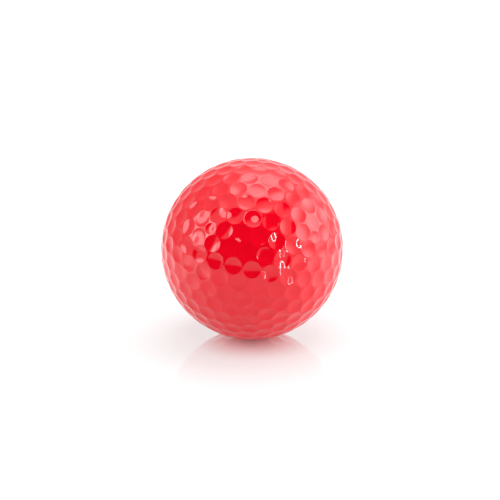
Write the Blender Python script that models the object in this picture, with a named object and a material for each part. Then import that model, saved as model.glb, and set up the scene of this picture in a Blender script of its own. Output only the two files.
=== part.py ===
"""Golf ball: a rubber core, a mantle in two half shells and a dimpled cover in two half shells.

The frame's origin is the centre of the ball, in metres with +Z up. The dimples are first laid out on a
unit sphere with one small dimple, the pole, on +Z. The whole layout is then turned so that the pole
faces the front, a little up and to the left. The cover parts on the equator of that layout, along a
staggered line that runs through the land between the dimples and cuts none of them.
"""

import itertools
import math

import bmesh
import bpy
import numpy as np
from mathutils import Matrix, Vector

BALL_DIAMETER = 0.04267
COVER_THICKNESS = 0.0015
MANTLE_THICKNESS = 0.0013
LAYER_GAP = 0.0003

# The layout: six steps along a row of dimples and one to the side lead from one corner of an
# icosahedron to the next, which makes 432 dimples.
ROW_STEPS = 6
SIDE_STEPS = 1
SMALL_DIMPLE_REACH = 0.86
SPREAD_ROUNDS = 120
SPREAD_EASE = 0.15
NEIGHBOUR_REACH = 1.42

# Where the pole faces, and how far the layout is turned about it.
POLE_AZIMUTH = math.radians(-117)
POLE_ELEVATION = math.radians(25)
LAYOUT_SPIN = math.radians(27)

DIMPLE_DIAMETER = 0.0036
SMALL_DIMPLE_DIAMETER = 0.0026
DIMPLE_DEPTH = 0.00025
SMALL_DIMPLE_DEPTH = 0.00018
RIM_POINTS = 8
SEAM_SETBACK = 0.000035

MANTLE_SEGMENTS = 32
MANTLE_ARC_STEPS = 8
CORE_SUBDIVISIONS = 3
WELD = 1e-7

BALL_RADIUS = BALL_DIAMETER / 2
COVER_INNER_RADIUS = BALL_RADIUS - COVER_THICKNESS
MANTLE_OUTER_RADIUS = COVER_INNER_RADIUS - LAYER_GAP
MANTLE_INNER_RADIUS = MANTLE_OUTER_RADIUS - MANTLE_THICKNESS
CORE_RADIUS = MANTLE_INNER_RADIUS - LAYER_GAP

COVER_RED = (0.62, 0.012, 0.02)
MANTLE_WHITE = (0.78, 0.76, 0.70)
CORE_ORANGE = (0.72, 0.20, 0.06)


def clear_scene():
    for obj in list(bpy.data.objects):
        bpy.data.objects.remove(obj, do_unlink=True)


def plain_material(name, colour, roughness, coat):
    material = bpy.data.materials.new(name)
    material.use_nodes = True
    shader = material.node_tree.nodes["Principled BSDF"]
    shader.inputs["Base Color"].default_value = (*colour, 1)
    shader.inputs["Roughness"].default_value = roughness
    shader.inputs["Metallic"].default_value = 0
    shader.inputs["Coat Weight"].default_value = coat
    return material


def add_object(name, bm, material):
    """Turns a finished bmesh into a named, smooth object with its own material."""
    bmesh.ops.recalc_face_normals(bm, faces=bm.faces)
    mesh = bpy.data.meshes.new(name)
    bm.to_mesh(mesh)
    bm.free()
    mesh.materials.append(material)
    mesh.shade_smooth()
    mesh.set_sharp_from_angle(angle=math.radians(30))
    obj = bpy.data.objects.new(name, mesh)
    bpy.context.scene.collection.objects.link(obj)
    return obj


# ---------------------------------------------------------------- dimple layout


def icosahedron():
    """Its 12 corners, the first on +Z, and its 20 faces, anticlockwise from outside."""
    height = 1 / math.sqrt(5)
    reach = 2 * height
    fifth = 2 * math.pi / 5
    corners = [(0, 0, 1)]
    for start, z in ((0, height), (fifth / 2, -height)):
        for k in range(5):
            angle = start + k * fifth
            corners.append((reach * math.cos(angle), reach * math.sin(angle), z))
    corners.append((0, 0, -1))
    faces = []
    for k in range(5):
        after = (k + 1) % 5
        faces.append((0, 1 + k, 1 + after))
        faces.append((1 + k, 6 + k, 1 + after))
        faces.append((6 + k, 6 + after, 1 + after))
        faces.append((11, 6 + after, 6 + k))
    return np.array(corners, float), faces


def face_weights():
    """How much each corner of a face counts at each dimple that lies on that face."""
    turned = np.array([[ROW_STEPS, -SIDE_STEPS], [SIDE_STEPS, ROW_STEPS + SIDE_STEPS]], float)
    to_weights = np.linalg.inv(turned)
    reach = ROW_STEPS + SIDE_STEPS
    weights = []
    for row, side in itertools.product(range(-reach, reach + 1), repeat=2):
        second, third = to_weights @ (row, side)
        trio = np.array([1 - second - third, second, third])
        if trio.min() > -1e-9:
            weights.append(trio)
    return weights


def start_centres(corners, faces):
    """Unit vectors to the dimples, one for each point of the lattice drawn on the faces."""
    face_angle = math.acos(corners[0] @ corners[1])
    found = {}
    for weights in face_weights():
        for face in faces:
            point = np.sin(weights * face_angle) @ corners[list(face)]
            point /= np.linalg.norm(point)
            found.setdefault(tuple(np.round(point, 6)), point)
    return np.array(list(found.values()))


def neighbour_pairs(centres):
    spacing = math.sqrt(8 * math.pi / math.sqrt(3) / len(centres))
    near = centres @ centres.T > math.cos(NEIGHBOUR_REACH * spacing)
    return np.nonzero(np.triu(near, 1))


def spread_evenly(centres, small):
    """Springs between neighbours even out the spacing and draw the ring round a small dimple closer."""
    first, second = neighbour_pairs(centres)
    share = np.where(small[first] | small[second], SMALL_DIMPLE_REACH, 1.0)
    for _ in range(SPREAD_ROUNDS):
        link = centres[second] - centres[first]
        length = np.linalg.norm(link, axis=1)
        rest = length.mean() * share
        move = (SPREAD_EASE * (1 - rest / length))[:, None] * link
        np.add.at(centres, first, move)
        np.add.at(centres, second, -move)
        centres /= np.linalg.norm(centres, axis=1)[:, None]
    return centres


def neighbour_trios(centres):
    """Every three dimples that all neighbour each other. The land is widest between them."""
    near = {i: set() for i in range(len(centres))}
    for i, j in zip(*neighbour_pairs(centres)):
        near[i].add(int(j))
    return [(i, j, k) for i in near for j in near[i] for k in near[i] & near[j]]


def layout_turn():
    lean = math.pi / 2 - POLE_ELEVATION
    return (
        Matrix.Rotation(POLE_AZIMUTH, 3, "Z")
        @ Matrix.Rotation(lean, 3, "Y")
        @ Matrix.Rotation(LAYOUT_SPIN, 3, "Z")
    )


class Layout:
    """The dimples' centres, which of them are small or in front, and the trios between them."""

    def __init__(self):
        corners, faces = icosahedron()
        centres = start_centres(corners, faces)
        self.small = (centres @ corners.T).max(axis=1) > 1 - 1e-9
        centres = spread_evenly(centres, self.small)
        self.front = centres[:, 2] > 0
        self.trios = neighbour_trios(centres)
        turn = layout_turn()
        self.centres = [turn @ Vector(centre) for centre in centres]

    def trio_point(self, trio, side):
        """The middle of a trio. On the parting line it is set back into the dimples of its own side."""
        middle = sum((self.centres[i] for i in trio), Vector()).normalized()
        own = [self.centres[i] for i in trio if self.front[i] == side]
        if len(own) == 3:
            return middle
        inward = sum(own, Vector()).normalized() - middle
        return (middle + inward.normalized() * (SEAM_SETBACK / BALL_RADIUS)).normalized()


# ---------------------------------------------------------------- cover


class ShellMesh:
    """The bmesh of one cover half, whose corners between dimples are shared by the cells round them."""

    def __init__(self, layout, side):
        self.layout = layout
        self.side = side
        self.bm = bmesh.new()
        self.outer = {}
        self.inner = {}

    def vert(self, direction, radius):
        return self.bm.verts.new(direction * radius)

    def outer_corner(self, trio):
        if trio not in self.outer:
            self.outer[trio] = self.vert(self.layout.trio_point(trio, self.side), BALL_RADIUS)
        return self.outer[trio]

    def inner_corner(self, key):
        """An inner vertex: under a dimple's centre for a number, or at a trio's middle for a trio."""
        if key not in self.inner:
            is_trio = isinstance(key, tuple)
            direction = self.layout.trio_point(key, self.side) if is_trio else self.layout.centres[key]
            self.inner[key] = self.vert(direction, COVER_INNER_RADIUS)
        return self.inner[key]


def tangents(centre):
    across = centre.orthogonal().normalized()
    return across, centre.cross(across)


def dimple_size(layout, dimple):
    if layout.small[dimple]:
        return SMALL_DIMPLE_DIAMETER / 2, SMALL_DIMPLE_DEPTH
    return DIMPLE_DIAMETER / 2, DIMPLE_DEPTH


def add_cell(shell, dimple, trios):
    """One dimple with the land round it, out to the corners that it shares with its neighbours."""
    layout = shell.layout
    centre = layout.centres[dimple]
    across, up = tangents(centre)
    radius, depth = dimple_size(layout, dimple)

    def angle_of(trio):
        point = layout.trio_point(trio, shell.side)
        return math.atan2(point.dot(up), point.dot(across))

    trios = sorted(trios, key=angle_of)
    start = angle_of(trios[0])
    corner_angles = [angle_of(trio) - start for trio in trios[1:]] + [2 * math.pi]
    corners = [shell.outer_corner(trio) for trio in trios]
    tilt = math.asin(radius / BALL_RADIUS)
    step = 2 * math.pi / RIM_POINTS
    rim = []
    for k in range(RIM_POINTS):
        side = across * math.cos(start + k * step) + up * math.sin(start + k * step)
        rim.append(shell.vert(centre * math.cos(tilt) + side * math.sin(tilt), BALL_RADIUS))
    bottom = shell.vert(centre, BALL_RADIUS - depth)
    for k in range(RIM_POINTS):
        shell.bm.faces.new((rim[k], rim[(k + 1) % RIM_POINTS], bottom))
    add_land(shell.bm, rim, corners, step, corner_angles)


def add_land(bm, rim, corners, step, corner_angles):
    """Joins the rim to the corners, always taking the next point that comes first by angle."""
    at_rim = 0
    at_corner = 0
    while at_rim < len(rim) or at_corner < len(corners):
        here = rim[at_rim % len(rim)]
        corner = corners[at_corner % len(corners)]
        rim_first = at_corner == len(corners) or (at_rim + 1) * step <= corner_angles[at_corner]
        if at_rim < len(rim) and rim_first:
            at_rim += 1
            bm.faces.new((here, corner, rim[at_rim % len(rim)]))
        else:
            at_corner += 1
            bm.faces.new((here, corner, corners[at_corner % len(corners)]))


def add_inner_surface(shell):
    """Spans the dimples' centres at the inner radius, out to the corners on the parting line."""
    for trio in shell.layout.trios:
        own = [i for i in trio if shell.layout.front[i] == shell.side]
        if len(own) == 3:
            shell.bm.faces.new([shell.inner_corner(i) for i in own])
        elif len(own) == 2:
            shell.bm.faces.new([shell.inner_corner(key) for key in (*own, trio)])


def add_parting_face(shell):
    """The wall of the parting line, and the inner faces that lie along it."""
    layout = shell.layout
    sharing = {}
    for trio in layout.trios:
        for pair in itertools.combinations(trio, 2):
            sharing.setdefault(pair, []).append(trio)
    for pair, (one, other) in sharing.items():
        own = [i for i in pair if layout.front[i] == shell.side]
        if len(own) != 1:
            continue
        ends = (shell.inner_corner(other), shell.inner_corner(one))
        shell.bm.faces.new((shell.outer_corner(one), shell.outer_corner(other), *ends))
        shell.bm.faces.new((shell.inner_corner(own[0]), *ends))


def cover_shell(name, layout, side, material):
    shell = ShellMesh(layout, side)
    around = {}
    for trio in layout.trios:
        for dimple in trio:
            around.setdefault(dimple, []).append(trio)
    for dimple, trios in around.items():
        if layout.front[dimple] == side:
            add_cell(shell, dimple, trios)
    add_inner_surface(shell)
    add_parting_face(shell)
    return add_object(name, shell.bm, material)


# ---------------------------------------------------------------- mantle and core


def shell_profile():
    """The section of a half shell in the XZ plane, from the flat joint face over the pole and back."""
    joint_height = LAYER_GAP / 2
    points = []
    for radius, backwards in ((MANTLE_OUTER_RADIUS, False), (MANTLE_INNER_RADIUS, True)):
        low = math.asin(joint_height / radius)
        angles = np.linspace(low, math.pi / 2, MANTLE_ARC_STEPS + 1)
        if backwards:
            angles = angles[::-1]
        points.extend((radius * math.cos(angle), 0, radius * math.sin(angle)) for angle in angles)
    return points


def mantle_shell(name, upper, material):
    """A half shell turned about Z, its two poles closed, turned over for the lower one."""
    bm = bmesh.new()
    verts = [bm.verts.new(point) for point in shell_profile()]
    half = MANTLE_ARC_STEPS + 1
    outer = [bm.edges.new(pair) for pair in zip(verts[: half - 1], verts[1:half])]
    inner = [bm.edges.new(pair) for pair in zip(verts[half:-1], verts[half + 1 :])]
    joint = [bm.edges.new((verts[-1], verts[0]))]
    bmesh.ops.spin(
        bm,
        geom=verts + outer + inner + joint,
        cent=(0, 0, 0),
        axis=(0, 0, 1),
        angle=2 * math.pi,
        steps=MANTLE_SEGMENTS,
        use_merge=True,
    )
    bmesh.ops.remove_doubles(bm, verts=bm.verts, dist=WELD)
    if not upper:
        bmesh.ops.rotate(bm, verts=bm.verts, cent=(0, 0, 0), matrix=Matrix.Rotation(math.pi, 3, "X"))
    return add_object(name, bm, material)


def core_ball(name, material):
    bm = bmesh.new()
    bmesh.ops.create_icosphere(bm, subdivisions=CORE_SUBDIVISIONS, radius=CORE_RADIUS)
    return add_object(name, bm, material)


def build():
    clear_scene()
    layout = Layout()
    for name, side in (("cover_front_shell", True), ("cover_rear_shell", False)):
        cover_shell(name, layout, side, plain_material(name, COVER_RED, 0.25, 1.0))
    for name, upper in (("mantle_upper_shell", True), ("mantle_lower_shell", False)):
        mantle_shell(name, upper, plain_material(name, MANTLE_WHITE, 0.45, 0.0))
    core_ball("core", plain_material("core", CORE_ORANGE, 0.6, 0.0))


build()
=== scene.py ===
"""Looks for the golf ball: a fine dimpled cover, the studio, the light and the camera."""

import itertools
import math

import bpy
import numpy as np
from mathutils import Matrix, Vector


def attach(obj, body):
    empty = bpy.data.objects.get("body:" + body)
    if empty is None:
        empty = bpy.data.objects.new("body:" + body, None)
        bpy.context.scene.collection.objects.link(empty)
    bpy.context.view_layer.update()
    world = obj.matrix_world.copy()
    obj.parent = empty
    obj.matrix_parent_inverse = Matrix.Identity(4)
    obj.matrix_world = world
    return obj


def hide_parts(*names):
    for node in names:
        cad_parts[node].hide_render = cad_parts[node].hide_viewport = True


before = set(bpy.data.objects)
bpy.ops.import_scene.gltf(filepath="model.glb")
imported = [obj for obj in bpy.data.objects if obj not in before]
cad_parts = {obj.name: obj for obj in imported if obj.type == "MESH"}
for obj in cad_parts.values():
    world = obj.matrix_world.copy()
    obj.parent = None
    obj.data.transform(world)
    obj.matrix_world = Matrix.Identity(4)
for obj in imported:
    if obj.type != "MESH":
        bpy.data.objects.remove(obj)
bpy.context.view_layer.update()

BALL_RADIUS = 0.04267 / 2
COVER_THICKNESS = 0.0015
INNER_RADIUS = BALL_RADIUS - COVER_THICKNESS

# Dimple layout, the same as in the CAD model: six steps along a row and one aside join two corners.
ROW_STEPS = 6
SIDE_STEPS = 1
SMALL_DIMPLE_REACH = 0.86
SPREAD_ROUNDS = 120
SPREAD_EASE = 0.15
NEIGHBOUR_REACH = 1.42
POLE_AZIMUTH = math.radians(-117)
POLE_ELEVATION = math.radians(25)
LAYOUT_SPIN = math.radians(27)

DIMPLE_RADIUS = 0.00184
SMALL_DIMPLE_RADIUS = 0.00128
DIMPLE_DEPTH = 0.00025
SMALL_DIMPLE_DEPTH = 0.00018
RIM_ROUNDING = 0.000006
EDGE_POINTS = 5
BOWL_RINGS = (0.25, 0.45, 0.62, 0.76, 0.87, 0.94, 0.975, 1.0)
LAND_RINGS = (0.18, 0.38, 0.6, 0.8)
# How much of the way to the edge of its cell a rim may reach.
RIM_LIMIT = 0.985
SEAM_SETBACK = 0.000004
SHARP_FROM = math.radians(40)
ROUNDING_ERROR = 1e-9

# Dark and light end of each material's colour, the scale of its noise, and how rough it is.
PAINT = ((0.66, 0.0008, 0.010), (0.72, 0.0020, 0.013), 260, 0.35)
IONOMER = ((0.72, 0.70, 0.64), (0.80, 0.78, 0.72), 120, 0.45)
RUBBER = ((0.66, 0.17, 0.05), (0.76, 0.22, 0.07), 300, 0.6)
PAINT_DETAIL = 3
COAT_ROUGHNESS = 0.02
RIPPLE_SCALE = 900
RIPPLE_HEIGHT = 0.0000015

CAMERA_DISTANCE = 8 * BALL_RADIUS
CAMERA_ELEVATION = math.radians(15)
CAMERA_LENS = 52
CAMERA_SENSOR = 36
CAMERA_CLIP_START = 0.001
CAMERA_AIM = Vector((-0.0005, 0, -0.0003))
FLOOR_Z = -BALL_RADIUS
FLOOR_FRONT = 0.2
FLOOR_REACH = 1.5
FLOOR_ALBEDO = 0.36
FLOOR_ROUGHNESS = 0.6
FLOOR_GLOW = 0.56
# Painted light: the sheet glows brighter away from the ball, leaving painted shade round it, and brighter
# still in painted pools under the two side lamps.
PAINTED_SHADE_REACH = (0.03, 0.055)
GLOW_PAST_PAINTED_SHADE = 0.74
PAINTED_POOL_REACH = (0.03, 0.08)
PAINTED_POOL_GLOW = 0.5
# Where the polish starts to fade, where it ends and how strong it is, for the two parts of it.
FLOOR_POLISH = ((0.0, 0.018, 0.85), (0.020, 0.052, 0.12))
FLOOR_POLISH_ROUGHNESS = 0.04
# Beyond the polish a thin gloss begins again, which the camera doesn't see.
GLOSS_REACH = (0.036, 0.05)
# Light from below that reaches the underside of the ball and doesn't show in the sheet itself.
UNDERSIDE_REACH = (0.004, 0.017)
UNDERSIDE_GLOW = 1.6

# The studio's light by direction, in degrees. The camera is at azimuth 0 and the right is at 90.
SURROUND = 1.05
BACKDROP = 1.1
# The unlit part of the room behind the camera: a low and a high point on its left and right edges, the
# height of its top, and how soft its edges are.
DARK_LEFT = ((-57, 5), (-43, 45))
DARK_RIGHT = ((30, 8), (48, 42))
DARK_TOP = 57
DARK_SOFTNESS = 0.045
# Azimuth, elevation, half width, half height, softness of the edge and strength of each lamp. A negative
# strength takes light away, as in the middle of a ring-shaped lamp.
PANELS = (
    (-75, 25.5, 18.5, 18, 0.13, 3.8),
    (-71, 26, 7, 7, 0.25, -2.6),
    (91, 23, 25, 18, 0.6, 3.6),
    (0, 90, 22, 22, 0.3, 0.9),
    (145, 74, 20, 22, 0.3, 2.4),
    (-128, 22, 36, 34, 0.3, -0.38),
    (39, 12, 5.8, 9.2, 0.04, 42.0),
    (39, 12, 4.4, 7.8, 0.04, -42.0),
    (-4, 52.5, 8, 8, 0.15, 5.0),
    (-61, 27, 4, 13, 0.6, 2.4),
)


# ---------------------------------------------------------------- dimple layout


def icosahedron():
    """Its 12 corners, the first on +Z, and its 20 faces, anticlockwise from outside."""
    height = 1 / math.sqrt(5)
    fifth = 2 * math.pi / 5
    corners = [(0, 0, 1)]
    for start, z in ((0, height), (fifth / 2, -height)):
        for k in range(5):
            angle = start + k * fifth
            corners.append((2 * height * math.cos(angle), 2 * height * math.sin(angle), z))
    corners.append((0, 0, -1))
    faces = []
    for k in range(5):
        after = (k + 1) % 5
        faces.append((0, 1 + k, 1 + after))
        faces.append((1 + k, 6 + k, 1 + after))
        faces.append((6 + k, 6 + after, 1 + after))
        faces.append((11, 6 + after, 6 + k))
    return np.array(corners, float), faces


def face_weights():
    """How much each corner of a face counts at each dimple that lies on that face."""
    turned = np.array([[ROW_STEPS, -SIDE_STEPS], [SIDE_STEPS, ROW_STEPS + SIDE_STEPS]], float)
    to_weights = np.linalg.inv(turned)
    reach = ROW_STEPS + SIDE_STEPS
    weights = []
    for row, side in itertools.product(range(-reach, reach + 1), repeat=2):
        second, third = to_weights @ (row, side)
        trio = np.array([1 - second - third, second, third])
        if trio.min() > -ROUNDING_ERROR:
            weights.append(trio)
    return weights


def start_centres(corners, faces):
    """The dimples' centres before they are spread evenly, each found once."""
    face_angle = math.acos(corners[0] @ corners[1])
    found = {}
    for weights in face_weights():
        for face in faces:
            point = np.sin(weights * face_angle) @ corners[list(face)]
            point /= np.linalg.norm(point)
            found.setdefault(tuple(np.round(point, 6)), point)
    return np.array(list(found.values()))


def neighbour_pairs(centres):
    spacing = math.sqrt(8 * math.pi / math.sqrt(3) / len(centres))
    near = centres @ centres.T > math.cos(NEIGHBOUR_REACH * spacing)
    return np.nonzero(np.triu(near, 1))


def spread_evenly(centres, small):
    """Springs between neighbours even out the spacing and draw the ring round a small dimple closer."""
    first, second = neighbour_pairs(centres)
    share = np.where(small[first] | small[second], SMALL_DIMPLE_REACH, 1.0)
    for _ in range(SPREAD_ROUNDS):
        link = centres[second] - centres[first]
        length = np.linalg.norm(link, axis=1)
        rest = length.mean() * share
        move = (SPREAD_EASE * (1 - rest / length))[:, None] * link
        np.add.at(centres, first, move)
        np.add.at(centres, second, -move)
        centres /= np.linalg.norm(centres, axis=1)[:, None]
    return centres


def neighbour_trios(centres):
    """Every three dimples that all neighbour each other."""
    near = {i: set() for i in range(len(centres))}
    for i, j in zip(*neighbour_pairs(centres)):
        near[i].add(int(j))
    return [(i, j, k) for i in near for j in near[i] for k in near[i] & near[j]]


def layout_turn():
    """Turns the corner on +Z to POLE_AZIMUTH, anticlockwise from +X, and POLE_ELEVATION."""
    lean = math.pi / 2 - POLE_ELEVATION
    return (
        Matrix.Rotation(POLE_AZIMUTH, 3, "Z")
        @ Matrix.Rotation(lean, 3, "Y")
        @ Matrix.Rotation(LAYOUT_SPIN, 3, "Z")
    )


def unit(vectors):
    return vectors / np.linalg.norm(vectors, axis=-1, keepdims=True)


class Layout:
    """The dimples' centres, the half of the cover that each is on, and the trios round each."""

    def __init__(self):
        corners, faces = icosahedron()
        centres = start_centres(corners, faces)
        self.small = (centres @ corners.T).max(axis=1) > 1 - ROUNDING_ERROR
        centres = spread_evenly(centres, self.small)
        self.front = centres[:, 2] > 0
        self.centres = centres @ np.array(layout_turn()).T
        self.around = {}
        for trio in neighbour_trios(centres):
            for dimple in trio:
                self.around.setdefault(dimple, []).append(trio)

    def trio_point(self, trio, side):
        """Where three cells meet, set back a little from the parting line on the side asked for."""
        middle = unit(self.centres[list(trio)].sum(axis=0))
        own = [i for i in trio if self.front[i] == side]
        if len(own) == 3:
            return middle
        inward = unit(self.centres[own].sum(axis=0)) - middle
        return unit(middle + unit(inward) * (SEAM_SETBACK / BALL_RADIUS))


# ---------------------------------------------------------------- fine cover


class Shell:
    """The vertices and faces of one fine cover half."""

    def __init__(self, layout, side):
        self.layout = layout
        self.side = side
        self.points = []
        self.normals = []
        self.faces = []
        self.index = {}

    def vertex(self, key, make):
        """The vertex with this key, made the first time that it is asked for."""
        if key not in self.index:
            point = make()
            self.index[key] = self.free_vertex(point, unit(point))
        return self.index[key]

    def free_vertex(self, point, normal):
        self.points.append(point)
        self.normals.append(normal)
        return len(self.points) - 1


def tangents(centre):
    seed = np.array((0.0, 0.0, 1.0)) if abs(centre[2]) < 0.9 else np.array((1.0, 0.0, 0.0))
    across = unit(np.cross(seed, centre))
    return across, np.cross(centre, across)


def ordered_trios(layout, dimple):
    """The trios round a dimple, anticlockwise from outside."""
    across, up = tangents(layout.centres[dimple])

    def angle(trio):
        point = layout.centres[list(trio)].sum(axis=0)
        return math.atan2(point @ up, point @ across)

    return sorted(layout.around[dimple], key=angle)


def edge_chain(shell, one, other):
    """Outer vertices from one corner to the next, the first included, on the sphere."""
    layout = shell.layout
    low, high = sorted((one, other))
    start = layout.trio_point(low, shell.side)
    end = layout.trio_point(high, shell.side)
    chain = []
    for step in range(EDGE_POINTS):
        along = step if (low, high) == (one, other) else EDGE_POINTS - step
        if along in (0, EDGE_POINTS):
            corner = low if along == 0 else high
            chain.append(shell.vertex(("corner", corner), lambda: layout.trio_point(corner, shell.side)))
            continue
        share = along / EDGE_POINTS
        chain.append(shell.vertex((low, high, along), lambda: unit(start * (1 - share) + end * share)))
    return chain


def sink(distance, radius, depth):
    """How far the surface lies below the sphere at a distance from a dimple's centre."""
    bowl = depth * (1 - (distance / radius) ** 2)
    return RIM_ROUNDING * np.logaddexp(0, bowl / RIM_ROUNDING)


def steepness(distance, radius, depth):
    """How fast the surface rises away from a dimple's centre: the slope of sink, turned over."""
    bowl = depth * (1 - (distance / radius) ** 2)
    return 2 * depth * distance / radius**2 / (1 + np.exp(-bowl / RIM_ROUNDING))


def add_cell(shell, dimple):
    """One dimple and the land round it, in rings of vertices, out to the edge shared with its neighbours."""
    layout = shell.layout
    centre = layout.centres[dimple]
    trios = ordered_trios(layout, dimple)
    loop = []
    for one, other in zip(trios, trios[1:] + trios[:1]):
        loop.extend(edge_chain(shell, one, other))
    radius = SMALL_DIMPLE_RADIUS if layout.small[dimple] else DIMPLE_RADIUS
    depth = SMALL_DIMPLE_DEPTH if layout.small[dimple] else DIMPLE_DEPTH
    border = np.array([shell.points[i] / np.linalg.norm(shell.points[i]) for i in loop])
    out = unit(border - (border @ centre)[:, None] * centre)
    reach = np.arccos(border @ centre)
    rim = np.minimum(radius / BALL_RADIUS, RIM_LIMIT * reach)
    rings = [rim * share for share in BOWL_RINGS]
    rings += [rim + (reach - rim) * share for share in LAND_RINGS]
    middle = shell.free_vertex(centre * (BALL_RADIUS - sink(0.0, radius, depth)), centre)
    inner = None
    for tilt in rings:
        height = BALL_RADIUS - sink(tilt * BALL_RADIUS, radius, depth)
        places = centre * np.cos(tilt)[:, None] + out * np.sin(tilt)[:, None]
        away = out * np.cos(tilt)[:, None] - centre * np.sin(tilt)[:, None]
        normals = unit(places - away * steepness(tilt * BALL_RADIUS, radius, depth)[:, None])
        ring = [shell.free_vertex(point, normal) for point, normal in zip(places * height[:, None], normals)]
        join(shell, middle, inner, ring)
        inner = ring
    height = BALL_RADIUS - sink(reach * BALL_RADIUS, radius, depth)
    for index, point, size in zip(loop, border, height):
        shell.points[index] = point * size
    join(shell, middle, inner, loop)


def join(shell, middle, inner, outer):
    """A ring of faces: out to outer from inner, or from the middle vertex if there is no inner ring."""
    count = len(outer)
    for k in range(count):
        after = (k + 1) % count
        if inner is None:
            shell.faces.append((middle, outer[k], outer[after]))
        else:
            shell.faces.append((inner[k], outer[k], outer[after], inner[after]))


def add_inside(shell):
    """The plain inner surface, and the parting face that joins it to the outer one."""
    layout = shell.layout

    def inner(key):
        if isinstance(key, tuple):
            return shell.vertex(("inner", key), lambda: layout.trio_point(key, shell.side) * INNER_RADIUS)
        return shell.vertex(("inner", key), lambda: layout.centres[key] * INNER_RADIUS)

    for dimple in layout.around:
        if layout.front[dimple] != shell.side:
            continue
        trios = ordered_trios(layout, dimple)
        for one, other in zip(trios, trios[1:] + trios[:1]):
            shell.faces.append((inner(dimple), inner(other), inner(one)))
            across = (set(one) & set(other)) - {dimple}
            if layout.front[across.pop()] == shell.side:
                continue
            chain = edge_chain(shell, one, other) + edge_chain(shell, other, one)[:1]
            shell.faces.append((*chain[::-1], inner(one), inner(other)))


def cover_shell(name, layout, side, material):
    shell = Shell(layout, side)
    for dimple in layout.around:
        if layout.front[dimple] == side:
            add_cell(shell, dimple)
    outer = [vertex for face in shell.faces for vertex in face]
    add_inside(shell)
    mesh = bpy.data.meshes.new(name)
    mesh.from_pydata([tuple(point) for point in shell.points], [], shell.faces)
    mesh.shade_smooth()
    mesh.set_sharp_from_angle(angle=SHARP_FROM)
    # A zero normal leaves a corner of the inside or of the parting face as Blender shades it.
    normals = np.zeros((len(mesh.loops), 3))
    normals[: len(outer)] = np.array(shell.normals)[outer]
    mesh.normals_split_custom_set(normals.tolist())
    mesh.materials.append(material)
    obj = bpy.data.objects.new(name, mesh)
    bpy.context.scene.collection.objects.link(obj)
    return obj


# ---------------------------------------------------------------- materials


def noisy_material(name, low, high, scale, roughness, detail=2):
    """A material whose colour drifts between two ends, with its Object coordinates for more to be added."""
    material = bpy.data.materials.new(name)
    material.use_nodes = True
    nodes = material.node_tree.nodes
    links = material.node_tree.links
    shader = nodes["Principled BSDF"]
    shader.inputs["Roughness"].default_value = roughness
    place = nodes.new("ShaderNodeTexCoord").outputs["Object"]
    noise = nodes.new("ShaderNodeTexNoise")
    noise.inputs["Scale"].default_value = scale
    noise.inputs["Detail"].default_value = detail
    ramp = nodes.new("ShaderNodeValToRGB")
    ramp.color_ramp.elements[0].color = (*low, 1)
    ramp.color_ramp.elements[1].color = (*high, 1)
    links.new(place, noise.inputs["Vector"])
    links.new(noise.outputs["Fac"], ramp.inputs["Fac"])
    links.new(ramp.outputs["Color"], shader.inputs["Base Color"])
    return material, place


def red_cover():
    """Red paint under a clear coat with the faintest ripple."""
    material, place = noisy_material("red_clear_coated_cover", *PAINT, detail=PAINT_DETAIL)
    nodes = material.node_tree.nodes
    links = material.node_tree.links
    shader = nodes["Principled BSDF"]
    ripple = nodes.new("ShaderNodeTexNoise")
    ripple.inputs["Scale"].default_value = RIPPLE_SCALE
    bump = nodes.new("ShaderNodeBump")
    bump.inputs["Distance"].default_value = RIPPLE_HEIGHT
    links.new(place, ripple.inputs["Vector"])
    links.new(ripple.outputs["Fac"], bump.inputs["Height"])
    links.new(bump.outputs["Normal"], shader.inputs["Normal"])
    links.new(bump.outputs["Normal"], shader.inputs["Coat Normal"])
    shader.inputs["Coat Weight"].default_value = 1.0
    shader.inputs["Coat Roughness"].default_value = COAT_ROUGHNESS
    shader.inputs["Specular IOR Level"].default_value = 0.0
    return material


# ---------------------------------------------------------------- studio


def add_camera():
    data = bpy.data.cameras.new("camera")
    data.lens = CAMERA_LENS
    data.sensor_width = CAMERA_SENSOR
    data.clip_start = CAMERA_CLIP_START
    camera = bpy.data.objects.new("camera", data)
    camera.location = (
        0,
        -CAMERA_DISTANCE * math.cos(CAMERA_ELEVATION),
        CAMERA_DISTANCE * math.sin(CAMERA_ELEVATION),
    )
    look = CAMERA_AIM - camera.location
    camera.rotation_euler = look.to_track_quat("-Z", "Y").to_euler()
    bpy.context.scene.collection.objects.link(camera)
    bpy.context.scene.camera = camera


class Maths:
    """Adds nodes that work out a number to a node tree."""

    def __init__(self, tree):
        self.nodes = tree.nodes
        self.links = tree.links

    def math(self, operation, *values):
        node = self.nodes.new("ShaderNodeMath")
        node.operation = operation
        for socket, value in zip(node.inputs, values):
            if isinstance(value, (int, float)):
                socket.default_value = value
            else:
                self.links.new(value, socket)
        return node.outputs["Value"]

    def step(self, value, start, end, low=0.0, high=1.0):
        """Goes smoothly from low to high as value goes from start to end."""
        node = self.nodes.new("ShaderNodeMapRange")
        node.interpolation_type = "SMOOTHSTEP"
        for name, number in (("From Min", start), ("From Max", end), ("To Min", low), ("To Max", high)):
            node.inputs[name].default_value = number
        self.links.new(value, node.inputs["Value"])
        return node.outputs["Result"]


def floor_glow(maths, place, distance, path):
    """The sheet's glow, which is painted light: by distance, with painted shade near the ball, more at the
    two sides in painted pools, and more under the ball for diffuse rays.
    """
    apart = maths.nodes.new("ShaderNodeSeparateXYZ")
    maths.links.new(place, apart.inputs[0])
    aside = maths.math("ABSOLUTE", apart.outputs["X"])
    painted_pool = maths.step(aside, *PAINTED_POOL_REACH, 0, PAINTED_POOL_GLOW)
    lit = maths.math("ADD", maths.step(distance, *PAINTED_SHADE_REACH, FLOOR_GLOW, GLOW_PAST_PAINTED_SHADE), painted_pool)
    below = maths.step(distance, *UNDERSIDE_REACH, UNDERSIDE_GLOW, 0)
    return maths.math("MULTIPLY_ADD", path.outputs["Is Diffuse Ray"], below, lit)


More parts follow.
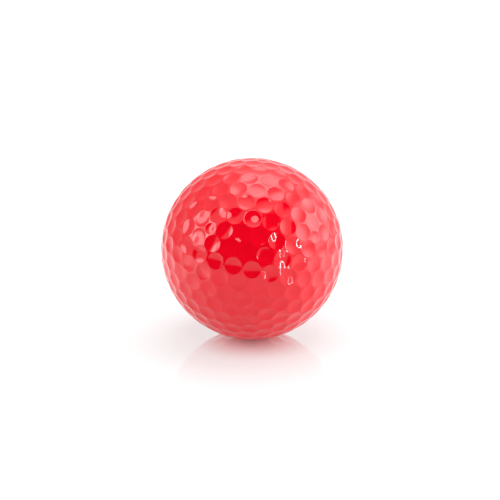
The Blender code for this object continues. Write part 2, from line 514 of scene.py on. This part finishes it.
def floor_gloss(maths, distance, path):
    """How much of the sheet is mirror: the polish round the ball, and the gloss further out."""
    inner, outer = [maths.step(distance, near, far, strength, 0) for near, far, strength in FLOOR_POLISH]
    polish = maths.math("ADD", inner, outer)
    unseen = maths.math("SUBTRACT", 1, path.outputs["Is Camera Ray"])
    again = maths.nodes.new("ShaderNodeMapRange")
    again.inputs["From Min"].default_value = GLOSS_REACH[0]
    again.inputs["From Max"].default_value = GLOSS_REACH[1]
    maths.links.new(distance, again.inputs["Value"])
    maths.links.new(unseen, again.inputs["To Max"])
    grazing = maths.nodes.new("ShaderNodeFresnel").outputs["Fac"]
    return maths.math("MULTIPLY_ADD", again.outputs["Result"], grazing, polish)


def white_acrylic():
    """A glowing white sheet, its glow painted light with painted shade round the ball, polished round the
    spot where the ball stands and duller further out.
    """
    material = bpy.data.materials.new("white_acrylic")
    material.use_nodes = True
    nodes = material.node_tree.nodes
    links = material.node_tree.links
    maths = Maths(material.node_tree)
    body = nodes["Principled BSDF"]
    body.inputs["Base Color"].default_value = (FLOOR_ALBEDO, FLOOR_ALBEDO, FLOOR_ALBEDO, 1)
    body.inputs["Roughness"].default_value = FLOOR_ROUGHNESS
    body.inputs["Specular IOR Level"].default_value = 0.0
    body.inputs["Emission Color"].default_value = (1, 1, 1, 1)
    polish = nodes.new("ShaderNodeBsdfGlossy")
    polish.inputs["Roughness"].default_value = FLOOR_POLISH_ROUGHNESS
    place = nodes.new("ShaderNodeTexCoord").outputs["Object"]
    length = nodes.new("ShaderNodeVectorMath")
    length.operation = "LENGTH"
    links.new(place, length.inputs[0])
    distance = length.outputs["Value"]
    path = nodes.new("ShaderNodeLightPath")
    links.new(floor_glow(maths, place, distance, path), body.inputs["Emission Strength"])
    mix = nodes.new("ShaderNodeMixShader")
    links.new(floor_gloss(maths, distance, path), mix.inputs["Fac"])
    links.new(body.outputs["BSDF"], mix.inputs[1])
    links.new(polish.outputs["BSDF"], mix.inputs[2])
    links.new(mix.outputs["Shader"], nodes["Material Output"].inputs["Surface"])
    return material


def add_floor():
    """It ends a little in front of the ball, where the unlit part of the room begins."""
    mesh = bpy.data.meshes.new("floor")
    left, front, right, back = -FLOOR_REACH, -FLOOR_FRONT, FLOOR_REACH, FLOOR_REACH
    corners = [(left, front, 0), (right, front, 0), (right, back, 0), (left, back, 0)]
    mesh.from_pydata(corners, [], [(0, 1, 2, 3)])
    mesh.materials.append(white_acrylic())
    floor = bpy.data.objects.new("floor", mesh)
    floor.location.z = FLOOR_Z
    bpy.context.scene.collection.objects.link(floor)


def direction(azimuth, elevation):
    """Azimuth 0 is the front, where the camera stands, and 90 is the right."""
    azimuth, elevation = math.radians(azimuth), math.radians(elevation)
    flat = math.cos(elevation)
    return Vector((math.sin(azimuth) * flat, -math.cos(azimuth) * flat, math.sin(elevation)))


class Sky(Maths):
    """The studio's light as a function of direction, in world nodes."""

    def __init__(self, world):
        super().__init__(world.node_tree)
        self.place = self.nodes.new("ShaderNodeTexCoord").outputs["Generated"]

    def dot(self, axis):
        node = self.nodes.new("ShaderNodeVectorMath")
        node.operation = "DOT_PRODUCT"
        node.inputs[1].default_value = axis
        self.links.new(self.place, node.inputs[0])
        return node.outputs["Value"]

    def panel(self, azimuth, elevation, wide, tall, edge):
        """1 on an oval that is wide by tall degrees from its centre, falling to 0 over the edge."""
        centre = direction(azimuth, elevation)
        across = direction(azimuth + 90, 0)
        up = across.cross(-centre) if elevation < 90 else Vector((0, 1, 0))
        x = self.math("DIVIDE", self.dot(across), math.sin(math.radians(wide)))
        y = self.math("DIVIDE", self.dot(up), math.sin(math.radians(tall)))
        span = self.math("ADD", self.math("MULTIPLY", x, x), self.math("MULTIPLY", y, y))
        reach = self.math("SQRT", span)
        facing = self.math("GREATER_THAN", self.dot(centre), 0)
        return self.math("MULTIPLY", self.step(reach, 1 - edge, 1 + edge, 1, 0), facing)

    def dark_side(self):
        """1 in the unlit part of the room behind the camera."""
        left_low, left_high = [direction(*point) for point in DARK_LEFT]
        right_low, right_high = [direction(*point) for point in DARK_RIGHT]
        left = self.inside(left_high.cross(left_low))
        right = self.inside(right_low.cross(right_high))
        top = math.sin(math.radians(DARK_TOP))
        below = self.step(self.dot((0, 0, 1)), top - DARK_SOFTNESS, top + DARK_SOFTNESS, 1, 0)
        front = self.math("GREATER_THAN", self.dot(direction(0, 0)), 0)
        return self.math("MULTIPLY", self.math("MULTIPLY", left, right), self.math("MULTIPLY", below, front))

    def inside(self, axis):
        """1 on the side of the plane across the axis that it points to, with a soft edge."""
        return self.step(self.dot(axis.normalized()), -DARK_SOFTNESS, DARK_SOFTNESS)


def add_world():
    """The camera itself sees a plain backdrop in place of the studio's light."""
    world = bpy.data.worlds.new("studio")
    bpy.context.scene.world = world
    world.use_nodes = True
    background = world.node_tree.nodes["Background"]
    background.inputs["Color"].default_value = (1, 1, 1, 1)
    sky = Sky(world)
    level = sky.math("MULTIPLY", sky.math("SUBTRACT", 1, sky.dark_side()), SURROUND)
    for *shape, strength in PANELS:
        level = sky.math("ADD", level, sky.math("MULTIPLY", sky.panel(*shape), strength))
    path = sky.nodes.new("ShaderNodeLightPath")
    mix = sky.nodes.new("ShaderNodeMix")
    mix.inputs["B"].default_value = BACKDROP
    sky.links.new(level, mix.inputs["A"])
    sky.links.new(path.outputs["Is Camera Ray"], mix.inputs["Factor"])
    sky.links.new(mix.outputs["Result"], background.inputs["Strength"])


def add_cover():
    layout = Layout()
    red = red_cover()
    for name, side in (("cover_front", True), ("cover_rear", False)):
        piece = cover_shell(name, layout, side, red)
        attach(piece, "root")
        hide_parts(f"{name}_shell")


def colour_inner_layers():
    looks = {
        "mantle_upper_shell": ("ionomer_upper", IONOMER),
        "mantle_lower_shell": ("ionomer_lower", IONOMER),
        "core": ("cured_rubber", RUBBER),
    }
    for node, (name, look) in looks.items():
        material, _ = noisy_material(name, *look)
        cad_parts[node].data.materials.clear()
        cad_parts[node].data.materials.append(material)


def main():
    bpy.context.scene.view_settings.view_transform = "Standard"
    add_cover()
    colour_inner_layers()
    add_camera()
    add_floor()
    add_world()


main()
